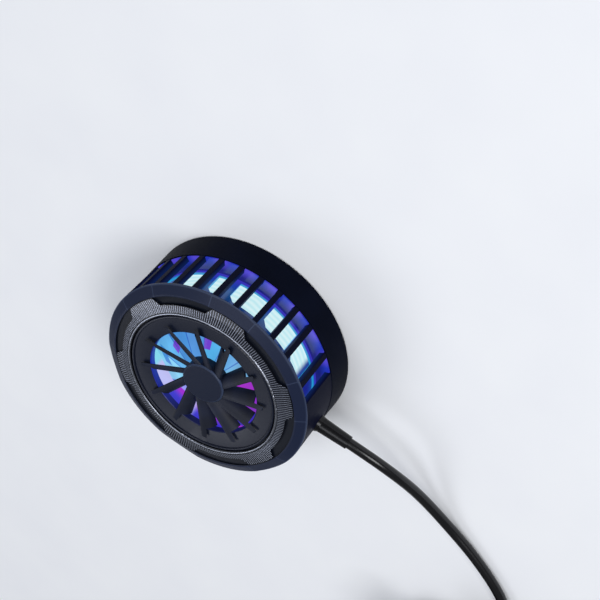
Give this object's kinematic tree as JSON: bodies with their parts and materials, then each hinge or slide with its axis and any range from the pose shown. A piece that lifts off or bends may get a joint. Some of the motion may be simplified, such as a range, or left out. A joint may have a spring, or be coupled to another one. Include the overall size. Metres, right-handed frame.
{
  "type": "magnetic phone cooling fan",
  "caption": "Round magnetic cooling fan for the back of a phone, with a pitched impeller, a lit slotted side band and a coiled supply cord with its plug.",
  "frame": {"origin": "centre of the flat face that lies on the phone's back", "axes": "+Z along the fan's axis, away from the phone; the cord leaves the band along +X"},
  "size_m": [0.1479, 0.1121, 0.0235],
  "materials": {
    "pad_silicone": "matte",
    "cold_aluminium": "satin",
    "housing_black": "satin",
    "magnet_nickel": "bright",
    "plated_steel": "satin",
    "alumina": "matte",
    "pellet_alloy": "matte",
    "foam_black": "matte",
    "sink_aluminium": "satin",
    "screw_steel": "satin",
    "board_white": "satin",
    "board_green": "satin",
    "lamp_lit": "gloss",
    "deck_lit": "gloss",
    "cage_tinted": "gloss",
    "panel_lit": "gloss",
    "deflector_lit": "satin",
    "band_black": "satin",
    "relief_rubber": "satin",
    "chip_epoxy": "matte",
    "bezel_slate": "satin",
    "ribbed_black": "gloss",
    "trim_chrome": "bright",
    "plate_black": "satin",
    "impeller_slate": "matte",
    "cap_black": "satin",
    "ferrite": "matte",
    "shaft_steel": "polished",
    "nylon_white": "matte",
    "tube_brass": "satin",
    "bearing_bronze": "satin",
    "lamination_steel": "satin",
    "winding_copper": "gloss",
    "cord_black": "satin",
    "tie_black": "matte",
    "plug_black": "satin",
    "shell_nickel": "bright",
    "tongue_black": "matte"
  },
  "bodies": {
    "housing": {"contact_pad": "pad_silicone", "cold_plate": "cold_aluminium", "rear_housing": "housing_black", "magnets": "magnet_nickel", "magnet_shield": "plated_steel", "cold_ceramic": "alumina", "hot_ceramic": "alumina", "thermoelectric_pellets": "pellet_alloy", "insulation_foam": "foam_black", "heatsink": "sink_aluminium", "heatsink_screws": "screw_steel", "lamp_board": "board_white", "lamps": "lamp_lit", "light_deck": "deck_lit", "light_cage": "cage_tinted", "light_panels": "panel_lit", "light_deflector": "deflector_lit", "slotted_band": "band_black", "strain_relief": "relief_rubber", "control_board": "board_green", "board_chips": "chip_epoxy", "front_bezel": "bezel_slate", "ribbed_ring": "ribbed_black", "trim_ring": "trim_chrome", "front_plate": "plate_black", "bearing_tube": "tube_brass", "motor_screws": "screw_steel", "thrust_pad": "nylon_white", "sleeve_bearing": "bearing_bronze", "motor_board": "board_green", "stator_core": "lamination_steel", "stator_windings": "winding_copper", "cord_coil": "cord_black", "cord": "cord_black", "cord_tail": "cord_black", "coil_tie": "tie_black", "plug_body": "plug_black", "plug_shell": "shell_nickel", "plug_tongue": "tongue_black"},
    "rotor": {"impeller": "impeller_slate", "hub_cap": "cap_black", "rotor_yoke": "plated_steel", "rotor_magnet": "ferrite", "rotor_shaft": "shaft_steel", "retaining_ring": "nylon_white"}
  },
  "joints": [
    {"name": "rotor_spin", "type": "hinge", "parent": "housing", "child": "rotor", "pos_m": [0, 0, 0.018], "axis": [0, 0, 1], "continuous": true}
  ]
}
